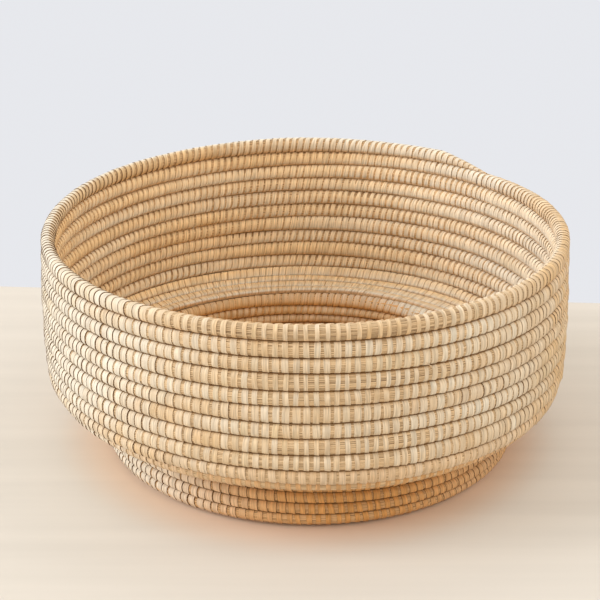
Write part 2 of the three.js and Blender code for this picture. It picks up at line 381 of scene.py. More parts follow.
    def points(self, turn, up, out):
        """Points beside the bundle's middle line, settled as the handwork is."""
        full = self.fullness(turn)
        aside = (1 - full) * self.half_course(turn, turn < 0) * np.where(turn < 0, 1.0, -1.0)
        r, z = self.profile_point(self.distance(turn) + up * full + aside, out * full)
        turn_angle = self.angle(turn)
        raised = smooth(z, 0.0, LEAN_HEIGHT)
        loose = raised * smooth(turn, -1, LOOSE_TURNS)
        r = r + loose * COURSE_STANDS * self.drift(turn, *STANDS_DRIFT)
        for lobes, size, phase in DENTS:
            phase = phase + DENT_TWIST * z / self.sizes.rim_height
            r = r + raised * size * np.cos(lobes * turn_angle + phase)
        x = r * np.cos(turn_angle)
        y = r * np.sin(turn_angle)
        z = z + loose * self.wave(turn, up)
        inner = np.clip(-2 * out / self.sizes.bundle, 0.0, 1.0)
        z = z + loose * inner * INNER_WAVES * self.drift(turn, *INNER_WAVES_DRIFT)
        wall_height = self.sizes.rim_height - self.sizes.shoulder_height
        rise = np.clip((z - self.sizes.shoulder_height) / wall_height, 0.0, 1.0)
        sunk = np.where(rise > 0.0, 1 - rise, np.clip(z / self.sizes.shoulder_height, 0.0, 1.0))
        z = z - sunk * (self.sizes.shoulder_sag + x * math.tan(self.sizes.shoulder_tilt))
        z = z + rise * x * math.tan(self.sizes.lean_side) - raised * y * math.tan(self.sizes.lean_back)
        x = x + (1 - raised) * self.sizes.foot_aside
        y = y - (1 - raised) * self.sizes.foot_ahead
        z = np.maximum(z, TABLE_GAP)
        return np.stack([x, y, z], -1)


OUTER_POWER = 2.45
INNER_POWER = 2.2
SHOULDER_FLATTER = 2.6
FINE_STEPS = 1441


def section(turn_round, half_height, half_thickness, flatter=0.0):
    """A bundle's outline: flat-sided on the outside, rounder on the inside. Returns up and out."""
    cos, sin = np.cos(turn_round), np.sin(turn_round)
    power = 2.0 / np.where(cos >= 0, OUTER_POWER, INNER_POWER + flatter)
    up = np.sign(sin) * np.abs(sin) ** power * half_height
    out = np.sign(cos) * np.abs(cos) ** power * half_thickness
    return up, out


def even_angles(spots, count, half_height, half_thickness):
    """Angles round the section of places along its outline, which counts as so many equal steps."""
    fine = np.linspace(0.0, 2 * math.pi, FINE_STEPS)
    up, out = section(fine, half_height, half_thickness)
    length_so_far = np.concatenate([[0.0], np.cumsum(np.hypot(np.diff(up), np.diff(out)))])
    return np.interp(spots % count / count * length_so_far[-1], length_so_far, fine)


# Meshes

CRISP_EDGE = math.radians(50)
TILE_STRETCH = 4.0
TILE_MARGIN = 0.04


def add_object(name, data):
    """Puts a mesh, a lamp or a camera in the scene."""
    obj = bpy.data.objects.new(name, data)
    bpy.context.scene.collection.objects.link(obj)
    return obj


def closed_tube(rings):
    """The side faces and the two end faces of a tube through rings of points."""
    count, sides = rings.shape[:2]
    i = np.arange(count - 1)[:, None] * sides
    j = np.arange(sides)[None, :]
    ahead = (j + 1) % sides
    quads = np.stack([i + j, i + ahead, i + sides + ahead, i + sides + j], -1).reshape(-1, 4)
    last = (count - 1) * sides
    caps = [list(range(sides))[::-1], [last + k for k in range(sides)]]
    return quads, caps


def outward(points, quads):
    """True where the faces of a closed shape look outwards."""
    a, b, c, d = (points[quads[:, k]] for k in range(4))
    return np.sum(a * (np.cross(b, c) + np.cross(c, d))) > 0


def sheet_map(count, per_tile, shares):
    """Places for each face's corners on a flat sheet: the tube cut into tiles that lie side by side."""
    tiles = -(-(count - 1) // per_tile)
    columns = max(1, int(round(math.sqrt(tiles * TILE_STRETCH))))
    rows = -(-tiles // columns)
    ring = np.arange(count - 1)
    tile = ring // per_tile
    edges = np.concatenate([[0.0], np.cumsum(shares) / np.sum(shares)])
    step = ring % per_tile
    sides_at = (edges[:-1][None, :], edges[1:][None, :])
    steps_at = ((step / per_tile)[:, None], ((step + 1) / per_tile)[:, None])
    inset = 1 - 2 * TILE_MARGIN
    u = [((tile % columns)[:, None] + TILE_MARGIN + inset * x) / columns for x in sides_at]
    v = [((tile // columns)[:, None] + TILE_MARGIN + inset * y) / rows for y in steps_at]
    corners = [(u[0], v[0]), (u[1], v[0]), (u[1], v[1]), (u[0], v[1])]
    return np.stack([np.stack(np.broadcast_arrays(*corner), -1) for corner in corners], 2)


def tube_object(name, tubes, material):
    """One object from several tubes, each a dict of rings, named values at its points and tile sizes."""
    points, quads, caps, maps = [], [], [], []
    values = {}
    offset = 0
    for tube in tubes:
        rings = tube["rings"]
        faces, ends = closed_tube(rings)
        places = sheet_map(len(rings), tube["per_tile"], tube["shares"]).reshape(-1, 4, 2)
        flat = rings.reshape(-1, 3)
        if not outward(flat - flat.mean(0), faces):
            faces = faces[:, ::-1]
            places = places[:, ::-1]
            ends = [end[::-1] for end in ends]
        points.append(flat)
        quads.append(faces + offset)
        caps += [[k + offset for k in end] for end in ends]
        maps.append(places)
        for key, array in tube["values"].items():
            values.setdefault(key, []).append(np.broadcast_to(array, rings.shape).reshape(-1, 3))
        offset += len(flat)
    points = np.concatenate(points)
    quads = np.concatenate(quads)
    loops = np.concatenate([quads.ravel(), *caps])
    sizes = np.concatenate([np.full(len(quads), 4), [len(cap) for cap in caps]])
    starts = np.concatenate([[0], np.cumsum(sizes)[:-1]])
    mesh = bpy.data.meshes.new(name)
    mesh.vertices.add(len(points))
    mesh.vertices.foreach_set("co", points.astype(np.float32).ravel())
    mesh.loops.add(len(loops))
    mesh.loops.foreach_set("vertex_index", loops.astype(np.int32))
    mesh.polygons.add(len(sizes))
    mesh.polygons.foreach_set("loop_start", starts.astype(np.int32))
    mesh.update(calc_edges=True)
    mesh.validate()
    for key, arrays in values.items():
        attribute = mesh.attributes.new(key, "FLOAT_VECTOR", "POINT")
        attribute.data.foreach_set("vector", np.concatenate(arrays).astype(np.float32).ravel())
    sheet = np.concatenate([np.concatenate(maps).reshape(-1, 2), np.zeros((len(loops) - quads.size, 2))])
    mesh.uv_layers.new(name="OFBake").uv.foreach_set("vector", sheet.astype(np.float32).ravel())
    mesh.shade_smooth()
    mesh.set_sharp_from_angle(angle=CRISP_EDGE)
    mesh.materials.append(material)
    return add_object(name, mesh)


def settle_piece(piece, slot, *nodes):
    """Puts a piece on the basket's body, in place of its solids. The slot is not used."""
    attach(piece, BODY)
    if nodes:
        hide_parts(*nodes)


# Strips and stems

STRIP_ANGLES_IN = (-90, -112, -137, -165, -195, -223, -248)
STRIP_ANGLES_OUT = (-270, -285, -300, -320, -345, -375, -400, -420, -435, -450)
STRIP_STEPS = len(STRIP_ANGLES_IN) + len(STRIP_ANGLES_OUT) - 1
STRIP_SHARES = (0.12, 0.7, 0.12, 0.06)
STRIP_EDGE = 0.93
STRIP_BURIED = 0.5 * MM
STRIP_TIP = -0.05 * MM
STRIP_SINK = 0.2 * MM
STRIP_TWIST = 0.12 * MM
STRIP_SEED_STEP = 61.0
TWIST_VARIES = 0.6 * STRIP_TWIST
SPOTS_VARY = 0.045
OUTSIDE_TILT = 0.1
INSIDE_PALER = 0.13
INSIDE_PROUD = 0.25 * MM
FEWEST_WRAPS = 3
WRAP_MARGIN = 0.6
RIM_SOFT = 0.1

# Parts of one wrap: where it crosses on the inside, and where it narrows towards its top
CROSSING_PARTS = (0.06, 0.44)
TOP_PARTS = (0.27, 0.42)

# What differs by place. Sides are amounts, each with a direction in degrees from the X axis and its spread.
# Drifts are amounts, each with a length and a seed.
OPEN_FRONT = ((0.5, 278, 42),)
OPEN_TOPS = ((0.3, 25, 50),)
TWISTED = ((1.2, 350, 40),)
# Painted light inside at the right, where the key lamp falls.
LIT_INSIDE = ((0.75, 15, 45),)
# Painted shadows at the seams inside at the right, and fewer on the rim at the back.
LINED_INSIDE = ((0.8, 5, 46),)
PLAIN_BACK = ((0.4, 90, 60),)
# Painted shade inside at the left.
SHADED_LEFT_INSIDE = ((0.1, 180, 50),)
CROWDING = ((0.36, 0, 45), (0.36, 185, 40), (0.17, 90, 55))
# Painted shadows at the seams, strongest at the right and left sides.
TIGHT_SIDES = ((0.9, 352, 46), (0.9, 190, 45))
DARKER_SEAM_SHADOWS = ((0.5, 355, 45), (0.2, 185, 35))
CLOSE_DRIFT = (150 * MM, 301)
PATCHES = (95 * MM, 309)
CLOSE = {
    "mean": 0.97,
    "sides": ((-0.66, 278, 42), (0.12, 200, 40)),
    "rim_sides": ((-0.3, 290, 38),),
    "foot": 0.2,
    "drifts": ((0.2, *CLOSE_DRIFT),),
    "varies": 0.1,
}
COVER = {"mean": 0.91, "drifts": ((0.5, 70 * MM, 307),), "varies": 0.05}
TOP_COVER = {"mean": 0.705, "drifts": ((0.45, 60 * MM, 304),), "varies": 0.06}
TONE = {
    "mean": 0.3,
    "sides": ((-0.08, 280, 50), (-0.3, 355, 34), (0.12, 315, 25), (-0.05, 238, 25)),
    "rim": -0.04,
    "rim_sides": ((-0.09, 300, 80), (-0.16, 0, 45)),
    "drifts": ((0.2, 45 * MM, 302), (0.13, 210 * MM, 305)),
    "varies": 0.05,
}
HUE = {"mean": 0.45, "drifts": ((0.6, 60 * MM, 303),), "varies": 0.08}
# Painted light on the outside: paler strips on the lit left side and the left of the foot, and on the rim at
# the back, less at the rim's left.
PAINTED_LIGHT = {
    "sides": ((0.45, 190, 34),),
    "rim_sides": ((-0.1, 190, 34), (0.3, 90, 65)),
    "foot_sides": ((0.6, 215, 40),),
}
# Painted light and shade inside: paler overall, darker in the shade at the left and on the foot, a little
# paler on the rim.
PAINTED_LIGHT_INSIDE = {"mean": 0.1, "sides": ((-0.28, 180, 50),), "rim": 0.02, "foot": -0.22}
# Painted light towards gold inside: less at the lit right, more at the left and on the shoulder, varying in
# patches.
LIT_GOLDEN = {
    "mean": 0.75,
    "sides": ((-0.5, 15, 45), (0.12, 185, 50)),
    "shoulder": 0.28,
    "drifts": ((-0.35, *PATCHES),),
}
# Painted shade under the shoulder: most at the front, little at the lit left, less at the right.
LOW_PAINTED_SHADE = {"mean": 1.0, "sides": ((0.3, 275, 35), (-0.95, 207, 45), (-0.3, 335, 35))}

# How wide the wraps are, as parts of the spacing
SHOULDER_COVER = 0.95
COVER_LIMITS = (0.62, 0.97)
SHOULDER_TOP = 0.9
LEAST_TOP = 0.42
TIGHT_WIDTHS = (0.8, 0.12)
TIGHT_COVERS = (0.78, 0.12)

# How the leaf is coloured, with painted light and shade
FOOT_SOFT = 0.12
# Painted shade on the lower part of each course inside: places by the sine round the bundle, and their
# amounts.
UNDERSIDE_SHADE = ((-1.0, -0.6, 0.1), (0.7, 0.3, 0.0))
LIT_GOLD_RANGE = (-0.7, 0.8)
UNDER_RIM_RANGE = (0.45, 0.5)


class Wraps:
    """The wraps of a strip along a part of the coil, and values for each wrap that differ by place."""

    def __init__(self, coil, strips, first, last, random):
        self.coil = coil
        self.random = random
        self.around = 2 * math.pi * coil.radius((first + last) / 2)
        margin = WRAP_MARGIN * (last - first)
        self.fine = np.linspace(first - margin, last + margin, FINE_STEPS)
        crowding = 1 + coil.by_side((self.fine[1:] + self.fine[:-1]) / 2, CROWDING)
        so_far = np.concatenate([[0.0], np.cumsum(crowding)]) * (self.fine[1] - self.fine[0])
        so_far = so_far - np.interp(first, self.fine, so_far)
        whole = np.interp(last, self.fine, so_far)
        self.count = max(FEWEST_WRAPS, round(whole * self.around / strips.spacing))
        self.so_far = so_far * self.count / whole
        self.run = self.turn_at(np.arange(self.count + 1))
        self.on_foot = coil.on_stretch(self.run, FOOT)
        self.on_shoulder = coil.on_stretch(self.run, SHOULDER)
        self.on_wall = coil.on_stretch(self.run, WALL)
        self.on_rim = smooth((self.run - coil.last + 1) / RIM_SOFT + 0.5)

    def turn_at(self, wraps_so_far):
        """The turn of the coil that a number of wraps reaches."""
        return np.interp(wraps_so_far, self.so_far, self.fine)

    def past(self, stretch, turns=0.0, soft=SOFT_TURNS):
        """1 past so many turns of a stretch and 0 before, with a soft step."""
        return smooth((self.run - self.coil.first[stretch] - turns) / soft + 0.5)

    def by_side(self, sides):
        """The sum of amounts that are each strongest in one direction, for each wrap."""
        return self.coil.by_side(self.run, sides)

    def drift(self, reach, seed):
        """Values from -0.5 to 0.5 that wander over a length of the wall."""
        return self.coil.drift(self.run, 2 * math.pi * self.coil.sizes.rim_radius / reach, seed)

    def vary(self, spread, mean=0.0):
        """A random value for each wrap."""
        return self.random.normal(mean, spread, self.count + 1)

    def by_place(
        self,
        mean=0.0,
        sides=(),
        rim=0.0,
        rim_sides=(),
        foot=0.0,
        foot_sides=(),
        shoulder=0.0,
        drifts=(),
        varies=0.0,
    ):
        """A value for each wrap: its mean, and what its place and chance add."""
        value = mean + self.by_side(sides) + shoulder * self.on_shoulder
        value = value + self.on_rim * (rim + self.by_side(rim_sides))
        value = value + self.on_foot * (foot + self.by_side(foot_sides))
        for amount, reach, seed in drifts:
            value = value + amount * self.drift(reach, seed)
        return value + self.vary(varies) if varies else value


def strip_form(wraps, strips):
    """How wide each wrap is outside and inside, as parts of the spacing, and how its edges lie."""
    close = wraps.by_place(**CLOSE) + wraps.by_side(OPEN_FRONT) * wraps.drift(*CLOSE_DRIFT)
    width = strips.narrow + (strips.wide - strips.narrow) * np.clip(close, 0.0, 1.0)
    # How strong the painted shadows at the seams are: strongest where the strips close up, on the foot and
    # at the sides.
    seam_shadow_strength = np.maximum(smooth(width, *TIGHT_WIDTHS), 0.8 * wraps.on_foot)
    seam_shadow_strength = np.maximum(seam_shadow_strength, wraps.by_side(TIGHT_SIDES)) * (1 + wraps.by_side(DARKER_SEAM_SHADOWS))
    cover = wraps.by_place(**COVER)
    cover = np.clip(cover + wraps.on_shoulder * (SHOULDER_COVER - cover), *COVER_LIMITS)
    top = wraps.by_place(**TOP_COVER) * (1 - wraps.by_side(OPEN_TOPS))
    top = np.clip(top + wraps.on_shoulder * (SHOULDER_TOP - top), LEAST_TOP, cover)
    height = -STRIP_SINK * wraps.random.random(wraps.count + 1)
    twist = wraps.vary(TWIST_VARIES, STRIP_TWIST) * (1 + wraps.by_side(TWISTED))
    return {
        "width": width,
        "seam_shadow_strength": seam_shadow_strength,
        "cover": cover,
        "top": top,
        "before": np.maximum(height + twist, -strips.proud / 2),
        "after": np.maximum(height - twist, -strips.proud / 2),
    }


def strip_tint(wraps, form):
    """How pale, green, brown and golden the leaf of each wrap is, and how dark its edges are, with painted
    light and shade.
    """
    on_shoulder, on_wall, on_rim = wraps.on_shoulder, wraps.on_wall, wraps.on_rim
    before_wall = wraps.coil.first[WALL] - wraps.run
    # Painted light where the key lamp falls, halved on the base, the shoulder and the lowest wall courses,
    # but not on the foot.
    painted_light = wraps.by_place(**PAINTED_LIGHT)
    painted_light = painted_light * (1 - 0.5 * smooth(before_wall + 2.5) * (1 - wraps.on_foot))
    # Painted light inside where the key lamp falls, mostly on the wall and little on the rim, with random
    # paler and darker patches added.
    painted_light_and_patches_in = wraps.by_side(LIT_INSIDE) * (1 - 0.7 * on_rim)
    painted_light_and_patches_in = painted_light_and_patches_in * (0.25 + 0.75 * on_wall) + wraps.by_place(**PAINTED_LIGHT_INSIDE)
    patchy = 0.6 * wraps.drift(*PATCHES)
    painted_light_and_patches_in = painted_light_and_patches_in + patchy * (0.3 + 0.7 * on_wall)
    # Painted shadows at the seams inside, fewer on the shoulder, and on the rim as on the outside but fewer
    # at the back.
    lines = 0.28 * smooth(form["cover"], *TIGHT_COVERS)
    lines = np.maximum(lines, wraps.by_side(LINED_INSIDE)) * (1 - 0.7 * on_shoulder)
    rim_lines = form["seam_shadow_strength"] * (1 - wraps.by_side(PLAIN_BACK))
    # Painted shade towards amber on the foot, the shoulder and the lowest wall course, and inside the foot.
    low = 0.3 * smooth(before_wall + 1) + 0.55 * smooth(before_wall)
    painted_shade_and_light = wraps.by_place(**LOW_PAINTED_SHADE) * low * wraps.past(FOOT)
    foot_inside = wraps.past(FOOT) * (1 - wraps.past(SHOULDER, soft=FOOT_SOFT))
    inner_edge = on_shoulder * (1 - wraps.past(SHOULDER, 1))
    # Little of the painted light towards gold inside the foot and on the rim.
    lit_golden = wraps.by_place(**LIT_GOLDEN) * (1 - 0.8 * foot_inside) * (1 - 0.7 * on_rim)
    return {
        "tone": np.clip(wraps.by_place(**TONE), 0.0, 1.0),
        "hue": np.clip(wraps.by_place(**HUE), 0.0, 1.0),
        "painted_light": painted_light,
        "painted_light_and_patches_in": painted_light_and_patches_in,
        "seam_shadow_in": lines + on_rim * (rim_lines - lines),
        "painted_shade_and_light": painted_shade_and_light,
        "painted_shade_in": 0.72 * painted_shade_and_light * foot_inside,
        "lit_golden": lit_golden,
        # How much painted shade the lower parts inside get: less on the shoulder, more on its inner edge.
        "under": 1 - 0.5 * on_shoulder + 0.8 * inner_edge,
        "left_shade_in": wraps.by_side(SHADED_LEFT_INSIDE),
        # Less painted shade in the grooves of the shoulder.
        "deep": 1 - 0.28 * on_shoulder,
    }


def strip_tube(coil, strips, first, last, seed):
    """A leaf strip wound round the bundle, straight down the outside and slanting back up the inside."""
    wraps = Wraps(coil, strips, first, last, np.random.default_rng([strips.seed, seed]))
    steps = np.arange(wraps.count * STRIP_STEPS + 1)
    wrap = np.minimum(steps // STRIP_STEPS, wraps.count - 1)
    turn_round = np.radians(np.array(STRIP_ANGLES_IN + STRIP_ANGLES_OUT)[steps - wrap * STRIP_STEPS])
    part = (-math.pi / 2 - turn_round) / (2 * math.pi)
    crossing = (1 - strips.slant) / 2
    ramp = np.interp(part, [0, *CROSSING_PARTS, 0.5], [0, crossing, 1 - crossing, 1])

    def along(values):
        return values[wrap] * (1 - ramp) + values[wrap + 1] * ramp

    spots = along(np.arange(wraps.count + 1) - 0.5 + wraps.vary(SPOTS_VARY))
    tilt = (part - 0.75) * 2 * along(wraps.vary(OUTSIDE_TILT))
    place = spots + np.where((part > 0.5) & (part < 1), tilt, 0.0)
    form = strip_form(wraps, strips)
    at = {key: along(values) for key, values in (form | strip_tint(wraps, form)).items()}
    cos, sin = np.cos(turn_round), np.sin(turn_round)
    inside = np.clip(-cos * 2.0, 0.0, 1.0)

    def out_in(outer, inner):
        return outer * (1 - inside) + inner * inside

    to_top = np.interp(part, TOP_PARTS, (0.0, 1.0))
    width = out_in(at["width"], at["cover"] * (1 - to_top) + at["top"] * to_top)
    half = (width / 2 * (wraps.turn_at(place + 0.5) - wraps.turn_at(place - 0.5)))[:, None]
    across = np.array([-1.0, -STRIP_EDGE, STRIP_EDGE, 1.0])
    buried = np.full(len(steps), -STRIP_BURIED - strips.proud)
    proud = INSIDE_PROUD * inside
    lift = np.stack([buried, at["before"] + proud, at["after"] + proud, buried], -1)
    middle = wraps.turn_at(place)
    turn = middle[:, None] + half * across
    above = sin[:, None] > 0
    half_height = coil.half_course(turn, above) + np.where(coil.free_edge(turn, above), 0.0, STRIP_TIP)
    half_thickness = coil.half_thickness(turn, cos[:, None] < 0)
    flatter = SHOULDER_FLATTER * coil.on_stretch(turn, SHOULDER)
    up, out = section(turn_round[:, None] + 0 * turn, half_height + lift, half_thickness + lift, flatter)

    # Painted shade towards the grooves, paler inside and none on top of the rim.
    deep = sin**2 * (1 - INSIDE_PALER * inside) * at["deep"]
    deep = np.where(coil.free_edge(middle, sin > 0), 0.0, deep)
    # Painted shade on the lower part of each course inside, more at the left, and painted light towards gold
    # on the upper part.
    underside_shade = np.interp(sin, *UNDERSIDE_SHADE) * at["under"] + at["left_shade_in"]
    painted_shade_and_light = inside * (underside_shade - at["lit_golden"] * smooth(sin, *LIT_GOLD_RANGE))
    # Painted shade towards amber outside, low down, and inside the foot.
    painted_shade_and_light = painted_shade_and_light + out_in(at["painted_shade_and_light"], at["painted_shade_in"])
    # Warmer towards the bottom of the top course, on the outside.
    under_rim = 0.5 * smooth(-sin, *UNDER_RIM_RANGE)
    painted_shade_and_light = np.clip(painted_shade_and_light + np.where((middle > coil.last - 1) & (cos > 0), under_rim, 0.0), -1.0, 1.0)
    # The strips' tone, with the painted light added.
    shade = at["tone"] + out_in(at["painted_light"], at["painted_light_and_patches_in"])
    # How dark the painted shadows at the seams are, outside and inside.
    lines = out_in(at["seam_shadow_strength"], at["seam_shadow_in"])
    loop_length = 2 * (coil.sizes.bundle + 2 * float(half_height.mean())) / MM
    so_far = (wrap + part) * loop_length
    own = wrap + seed * STRIP_SEED_STEP
    spread = across * half * wraps.around / MM
    return {
        "rings": coil.points(turn, up, out),
        "values": {
            "strip_look": np.stack([shade, at["hue"], deep], -1)[:, None, :],
            "strip_place": np.stack(np.broadcast_arrays(spread, so_far[:, None], own[:, None]), -1),
            "strip_edge": np.stack(np.broadcast_arrays(across, lines[:, None], painted_shade_and_light[:, None]), -1),
        },
        "per_tile": STRIP_STEPS,
        "shares": STRIP_SHARES,
    }


STEM_RIDGE = 0.35 * MM
STEM_SINK = 0.12 * MM
STEM_TIP = 0.1 * MM
STEM_LOW = 0.4 * MM
STEM_FIN = (0.93, 0.05)
STEM_OUTLINE = (5.5, 5.0)
STEM_WIDTH = 1.9
STEM_SEED_STEP = 17.0
FEWEST_STEPS = 4
GROOVE_SHADE_POWER = 1.3
SHADOW_RANGE = (0.05, 0.5)

# Drifts along the stems: how many to a turn, how far apart for two stems, and a seed
STEM_BEND_DRIFT = (31.0, 71.7, 403)
STEM_SHADE_DRIFT = (23.0, 57.3, 401)
STEM_LINE_DRIFT = (37.0, 83.1, 402)
STEM_SHADOW_DRIFT = (45.0, 0.0, 404)


def stem_tube(coil, strips, first, last, steps_per_turn, seed):
    """The bundle of stems, with each stem a ridge along it and a narrow valley before the next."""
    steps = max(FEWEST_STEPS, round((last - first) * steps_per_turn))
    turn = np.linspace(first, last, steps + 1)[:, None]
    random = np.random.default_rng([strips.seed, seed])

    def drift(stem, per_turn, apart, kind):
        return wander(turn * per_turn + stem * apart, seed + kind)

    number = np.arange(strips.stems)
    start = number + random.uniform(-0.2, 0.2, strips.stems)
    start = start + 0.5 * (drift(number, *STEM_BEND_DRIFT) - 0.5)
    ahead = np.concatenate([start[:, 1:], start[:, :1] + strips.stems], 1)
    side = 0.25 * (ahead - start)
    spots = np.stack([start, start + side, ahead - side], -1).reshape(len(turn), -1)
    stem = np.repeat(number, 3)
    valley = (np.arange(len(stem)) % 3 == 0)[None, :]
    turn_round = even_angles(spots, strips.stems, *STEM_OUTLINE)
    lift = -strips.proud - STEM_RIDGE * valley - STEM_SINK * random.random(strips.stems)[stem][None, :]
    turns = turn + 0 * turn_round
    cos, sin = np.cos(turn_round), np.sin(turn_round)
    free = coil.free_edge(turns, sin > 0)
    fin = smooth(np.abs(sin), *STEM_FIN)
    tip = np.where(free, -strips.proud, STEM_TIP * fin - STEM_LOW * (1 - fin))
    half_height = coil.half_course(turns, sin > 0) + tip
    on_shoulder = coil.on_stretch(turns, SHOULDER)
    half_thickness = coil.half_thickness(turns, cos < 0) + lift
    up, out = section(turn_round, half_height, half_thickness, SHOULDER_FLATTER * on_shoulder)

    shadow = 0.8 * smooth(sin, *SHADOW_RANGE)
    shadow = shadow * (0.55 + 0.6 * drift(stem, *STEM_SHADOW_DRIFT))
    shadow = shadow * (1 - 0.35 * on_shoulder)
    # Painted shade towards the grooves, with the painted shadows in the upper gaps inside.
    deep = np.maximum((1 - INSIDE_PALER) * np.abs(sin) ** GROOVE_SHADE_POWER, shadow)
    deep = np.where(free, 0.0, np.where(cos < 0, deep, sin**2))
    shade = drift(stem, *STEM_SHADE_DRIFT) - 0.25 * (turns > coil.last - 1)
    line = 0.2 + 1.7 * (drift(stem, *STEM_LINE_DRIFT) - 0.5) + 0.35 * sin**2
    around = 2 * math.pi * coil.radius((first + last) / 2)
    spot = np.broadcast_arrays(stem * STEM_WIDTH, turns * around / MM, seed * STEM_SEED_STEP)
    # Painted shade: stems on the foot and inside turn amber.
    on_foot = (turns >= coil.first[FOOT]) & (turns < coil.first[SHOULDER])
    painted_shade_and_light = np.where(on_foot, 0.5, 0.0) + np.clip(-cos * 0.4, 0.0, 0.3)
    return {
        "rings": coil.points(turns, up, out),
        "values": {
            "stem_look": np.stack([shade, valley * np.clip(line, 0.1, 1.0), deep], -1),
            "stem_place": np.stack(spot, -1),
            "stem_painted_shade": np.stack([painted_shade_and_light, painted_shade_and_light, painted_shade_and_light], -1),
        },
        "per_tile": 14,
        "shares": np.ones(len(stem)),
    }


LOOSE_ENDS = 26
LOOSE_FROM = 1.0
LOOSE_TO = 0.6
LOOSE_INSIDE = 0.8
LOOSE_ROOT = (0.86, 0.62)
LOOSE_STEP = 0.004
LOOSE_RINGS = 6
LOOSE_GRAIN_SEED = 5.0


def unit(vector):
    """The same direction with a length of 1."""
    return vector / np.linalg.norm(vector)


def loose_end_tube(coil, random):
    """A stray fibre that stands out of a groove, mostly on the inside."""
    turn = random.uniform(coil.first[WALL] + LOOSE_FROM, coil.last - LOOSE_TO)
    here = np.array([turn])
    side = -1.0 if random.random() < LOOSE_INSIDE else 1.0
    up = coil.half_course(here, True) * LOOSE_ROOT[0]
    out = np.array([side * coil.sizes.bundle / 2 * LOOSE_ROOT[1]])
    root = coil.points(here, up, out)[0]
    ahead = unit(coil.points(here + LOOSE_STEP, up, out)[0] - root)
    inward = unit(np.array([-root[0], -root[1], 0.0])) * -side
    upward = np.array([0.0, 0.0, 1.0])
    way = inward * random.uniform(0.25, 0.6) + ahead * random.uniform(-1.0, 1.0)
    way = unit(way + upward * random.uniform(-0.3, 0.9))
    size = random.uniform(4.0 * MM, 8.5 * MM)
    width = random.uniform(0.22 * MM, 0.4 * MM)
    droop = random.uniform(-0.15, 0.25)
    part = np.linspace(0.0, 1.0, LOOSE_RINGS)[:, None]
    middle = root + part * size * way - part**2 * size * droop * upward
    flat = unit(np.cross(way, inward)) * width
    thick = np.cross(flat, way) * 0.5
    taper = 1.0 - 0.75 * part
    rings = np.stack([middle + taper * corner for corner in (flat, thick, -flat, -thick)], 1)
    look = np.array([random.random(), random.random(), 0.1])
    spot = np.stack(np.broadcast_arrays(0.0, part * size / MM, LOOSE_GRAIN_SEED), -1)
    return {
        "rings": rings,
        "values": {"strip_look": look, "strip_place": spot, "strip_edge": np.zeros(3)},
        "per_tile": LOOSE_RINGS - 1,
        "shares": np.ones(rings.shape[1]),
    }


# Materials


def node(tree, kind, links=None, **settings):
    """A node with its settings, and its inputs joined to sockets or set to values."""
    made = tree.nodes.new(kind)
    for key, value in settings.items():
        setattr(made, key, value)
    for key, value in (links or {}).items():
        socket = made.inputs[key]
        if isinstance(value, bpy.types.NodeSocket):
            tree.links.new(value, socket)
        else:
            socket.default_value = value
    return made


def blend(tree, factor, a, b):
    """Mixes two colours."""
    a, b = (value if isinstance(value, bpy.types.NodeSocket) else (*value, 1.0) for value in (a, b))
    return node(tree, "ShaderNodeMix", {0: factor, 6: a, 7: b}, data_type="RGBA").outputs[2]


def math_node(tree, operation, a, b=0.0, c=0.0, clamp=False):
    """One step of arithmetic."""
    return node(tree, "ShaderNodeMath", {0: a, 1: b, 2: c}, operation=operation, use_clamp=clamp).outputs[0]


def remap(tree, value, low, high, start=0.0, end=1.0, kind="LINEAR"):
    """A value that goes from start to end while the given one goes from low to high."""
    ends = {0: value, 1: low, 2: high, 3: start, 4: end}
    return node(tree, "ShaderNodeMapRange", ends, interpolation_type=kind).outputs[0]


def scaled(tree, tint, amount):
    """A colour made lighter or darker."""
    return node(tree, "ShaderNodeVectorMath", {0: tint, "Scale": amount}, operation="SCALE").outputs[0]


GRAIN_INPUTS = {"Across": 0.0, "Along": 0.0, "Seed": 0.0, "Fineness": 2.5, "Length": 0.12}
GRAIN_SEED_STEP = 3.7

# How wide and how long each kind of grain is, and its detail
GRAIN_OUTPUTS = {"Fibre": (1.0, 1.0, 3.0), "Patch": (0.15, 1.6, 2.0)}


def fibre_grain():
    """A node group: fine fibres along a leaf or a stem, and paler and darker patches."""
    name = "fibre_grain"
    if name in bpy.data.node_groups:
        return bpy.data.node_groups[name]
    tree = bpy.data.node_groups.new(name, "ShaderNodeTree")
    for socket, default in GRAIN_INPUTS.items():
        made = tree.interface.new_socket(socket, in_out="INPUT", socket_type="NodeSocketFloat")
        made.default_value = default
    for socket in GRAIN_OUTPUTS:
        tree.interface.new_socket(socket, in_out="OUTPUT", socket_type="NodeSocketFloat")
    given = tree.nodes.new("NodeGroupInput").outputs
    result = tree.nodes.new("NodeGroupOutput").inputs
    across = math_node(tree, "MULTIPLY", given["Across"], given["Fineness"])
    along = math_node(tree, "MULTIPLY", given["Along"], given["Length"])
    seed = math_node(tree, "MULTIPLY", given["Seed"], GRAIN_SEED_STEP)
    for socket, (wide, long, detail) in GRAIN_OUTPUTS.items():
        x = math_node(tree, "MULTIPLY", across, wide)
        y = math_node(tree, "MULTIPLY", along, long)
        place = node(tree, "ShaderNodeCombineXYZ", {0: x, 1: y, 2: seed}).outputs[0]
        noise = node(tree, "ShaderNodeTexNoise", {"Vector": place, "Scale": 1.0, "Detail": detail})
        tree.links.new(noise.outputs[0], result[socket])
    return tree


def surface(name):
    """A new material with its shader, ready for its nodes."""
    material = bpy.data.materials.new(name)
    material.use_nodes = True
    tree = material.node_tree
    return material, tree, tree.nodes["Principled BSDF"]


def attribute_parts(tree, name):
    """The three values that a piece holds under one name."""
    read = node(tree, "ShaderNodeAttribute", attribute_name=name)
    return node(tree, "ShaderNodeSeparateXYZ", {0: read.outputs["Vector"]}).outputs


